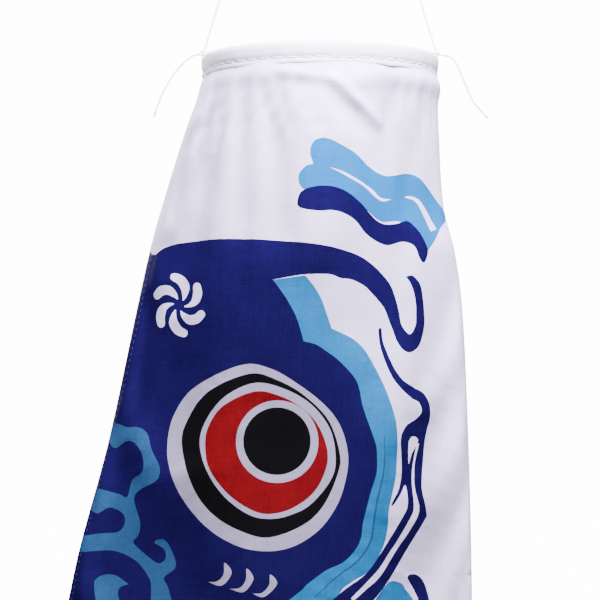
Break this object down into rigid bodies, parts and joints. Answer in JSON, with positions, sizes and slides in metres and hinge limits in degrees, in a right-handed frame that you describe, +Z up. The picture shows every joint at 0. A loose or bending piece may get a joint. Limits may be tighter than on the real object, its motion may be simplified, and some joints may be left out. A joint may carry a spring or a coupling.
{
  "type": "carp streamer",
  "caption": "Carp-shaped cloth wind streamer with a hooped mouth, hanging by two short ringed cords, with sewn fins and an open forked tail.",
  "frame": {"origin": "midway between the two points inside the tops of the hanging rings that bear on their hooks", "axes": "+Z up along the hanging fish, from tail to mouth; -X towards its back, +X towards its belly; Y across its thin way, with the printed side that the picture shows facing -Y"},
  "size_m": [0.2119, 0.09, 0.7496],
  "materials": {
    "nickel": "satin",
    "cord": "matte",
    "hoop_plastic": "satin",
    "white_cloth": "matte",
    "printed_cloth": "matte",
    "fin_cloth": "matte"
  },
  "bodies": {
    "hanger": {"hanging_ring_back": "nickel", "hanging_ring_belly": "nickel"},
    "cords": {"top_loop_back": "cord", "top_loop_belly": "cord", "top_knot_back": "cord", "top_knot_belly": "cord", "cord_leg_back": "cord", "cord_leg_belly": "cord"},
    "mouth": {"tie_knot_back": "cord", "tie_knot_belly": "cord", "tie_loop_back": "cord", "tie_loop_belly": "cord", "mouth_hoop": "hoop_plastic", "hoop_joiner": "hoop_plastic", "mouth_casing": "white_cloth", "head_cloth": "white_cloth"},
    "middle": {"middle_cloth": "printed_cloth"},
    "rear": {"rear_cloth": "printed_cloth"},
    "tail": {"tail_cloth": "printed_cloth"},
    "pectoral_near": {"pectoral_fin_near": "fin_cloth"},
    "pectoral_far": {"pectoral_fin_far": "fin_cloth"},
    "pelvic_near": {"pelvic_fin_near": "fin_cloth"},
    "pelvic_far": {"pelvic_fin_far": "fin_cloth"},
    "dorsal": {"dorsal_fin": "printed_cloth"},
    "anal": {"anal_fin": "fin_cloth"},
    "cord_end_back": {"cord_end_back": "cord"},
    "cord_end_belly": {"cord_end_belly": "cord"}
  },
  "joints": [
    {"name": "cord_swing", "type": "hinge", "parent": "hanger", "child": "cords", "pos_m": [0, 0, -0.0087], "axis": [1, 0, 0], "range_deg": [-75, 75]},
    {"name": "mouth_tilt", "type": "hinge", "parent": "cords", "child": "mouth", "pos_m": [0, 0, -0.0482], "axis": [1, 0, 0], "range_deg": [-80, 80]},
    {"name": "front_fold", "type": "hinge", "parent": "mouth", "child": "middle", "pos_m": [0, 0, -0.2834], "axis": [1, 0, 0], "range_deg": [-30, 30]},
    {"name": "rear_fold", "type": "hinge", "parent": "middle", "child": "rear", "pos_m": [0, 0, -0.478], "axis": [1, 0, 0], "range_deg": [-30, 30]},
    {"name": "tail_fold", "type": "hinge", "parent": "rear", "child": "tail", "pos_m": [0, 0, -0.6334], "axis": [1, 0, 0], "range_deg": [-30, 30]},
    {"name": "pectoral_near_lift", "type": "hinge", "parent": "middle", "child": "pectoral_near", "pos_m": [-0.012, -0.01742, -0.3009], "axis": [0.9934, 0.1149, 0], "range_deg": [-100, 0]},
    {"name": "pectoral_far_lift", "type": "hinge", "parent": "middle", "child": "pectoral_far", "pos_m": [-0.012, 0.01742, -0.3009], "axis": [0.9934, -0.1149, 0], "range_deg": [0, 100]},
    {"name": "pelvic_near_lift", "type": "hinge", "parent": "rear", "child": "pelvic_near", "pos_m": [0.002, -0.01574, -0.4983], "axis": [0.994, 0.109, 0], "range_deg": [-100, 0]},
    {"name": "pelvic_far_lift", "type": "hinge", "parent": "rear", "child": "pelvic_far", "pos_m": [0.002, 0.01574, -0.4983], "axis": [0.994, -0.109, 0], "range_deg": [0, 100]},
    {"name": "dorsal_fin_flap", "type": "hinge", "parent": "middle", "child": "dorsal", "pos_m": [-0.10371, 0, -0.3233], "axis": [0.1665, 0, -0.986], "range_deg": [-60, 60]},
    {"name": "anal_fin_flap", "type": "hinge", "parent": "rear", "child": "anal", "pos_m": [0.0583, 0, -0.5179], "axis": [0, 0, -1], "range_deg": [-60, 60]},
    {"name": "cord_end_back_swing", "type": "hinge", "parent": "mouth", "child": "cord_end_back", "pos_m": [-0.0447, 0, -0.0482], "axis": [1, 0, 0], "range_deg": [-70, 70]},
    {"name": "cord_end_belly_swing", "type": "hinge", "parent": "mouth", "child": "cord_end_belly", "pos_m": [0.0447, 0, -0.0482], "axis": [1, 0, 0], "range_deg": [-70, 70]}
  ]
}
